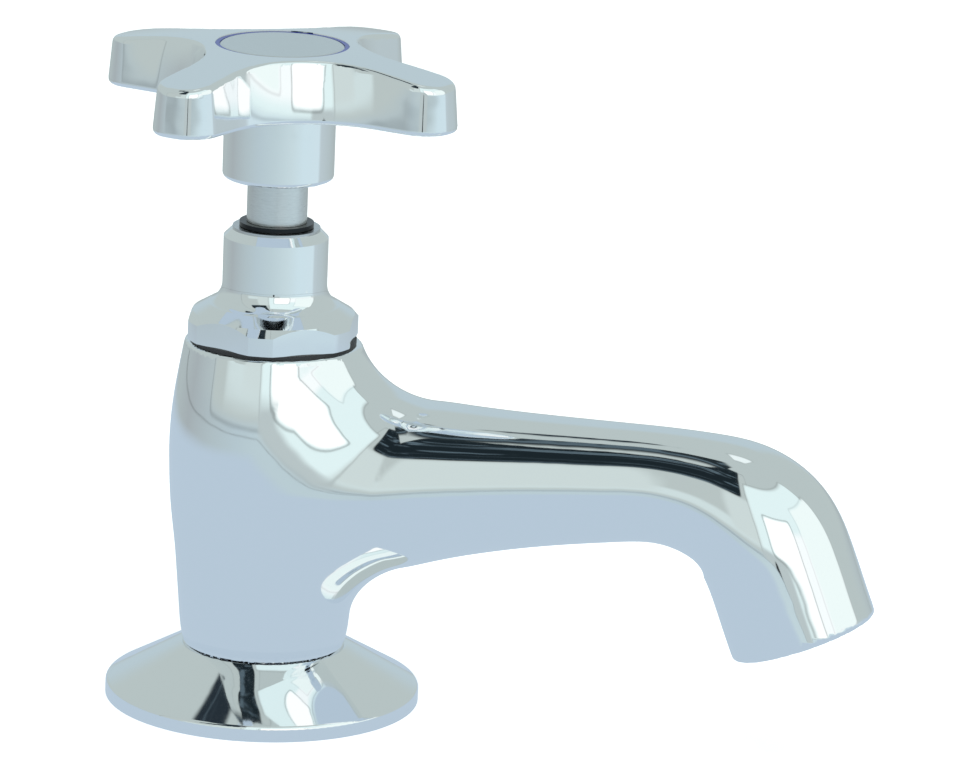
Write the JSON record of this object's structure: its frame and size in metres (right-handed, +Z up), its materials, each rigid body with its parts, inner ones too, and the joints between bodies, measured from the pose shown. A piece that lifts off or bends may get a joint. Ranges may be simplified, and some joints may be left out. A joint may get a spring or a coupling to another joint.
{
  "type": "cross handle tap",
  "caption": "Chromed basin pillar tap with a four-armed cross handle, a hexagonal headwork, a fixed curved spout, a round flange and a threaded tail.",
  "frame": {"origin": "on the tap's axis, in the plane where the flange meets the deck", "axes": "+Z up along the tap's axis, +X towards the spout"},
  "size_m": [0.1296, 0.0614, 0.154],
  "materials": {
    "chrome": "polished chrome plate on brass",
    "brass": "plain machined brass",
    "steel": "plain stainless steel",
    "blackened": "blackened spring steel",
    "spindle": "satin turned metal",
    "rubber": "matt black rubber",
    "foam": "dark closed-cell foam",
    "fibre": "red fibre",
    "nylon": "plain white nylon",
    "blue": "glossy blue",
    "index": "satin silver"
  },
  "bodies": {
    "tap": {"tap_body": "chrome", "base_flange": "chrome", "flange_seal": "foam", "inlet_tail": "brass", "tail_seal": "fibre", "deck_washer": "rubber", "back_nut": "brass", "bonnet": "chrome", "bonnet_seal": "rubber", "thrust_washer": "nylon", "spindle_washer": "steel"},
    "handle": {"handle": "chrome", "spindle": "spindle", "spindle_circlip": "blackened", "lower_o_ring": "rubber", "upper_o_ring": "rubber", "index_ring": "blue", "index_disc": "index", "handle_screw": "steel", "handle_screw_washer": "steel"},
    "valve": {"valve_carrier": "brass", "valve_washer": "rubber", "valve_screw": "brass"}
  },
  "joints": [
    {"name": "handle_turn", "type": "hinge", "parent": "tap", "child": "handle", "pos_m": [0, 0, 0.09], "axis": [0, 0, 1], "range_deg": [0, 855]},
    {"name": "valve_lift", "type": "slide", "parent": "tap", "child": "valve", "axis": [0, 0, 1], "range_m": [0, 0.0048]}
  ],
  "couplings": [
    {"joint": "valve_lift", "follows": "handle_turn", "m_per_rad": 0.00031831}
  ]
}
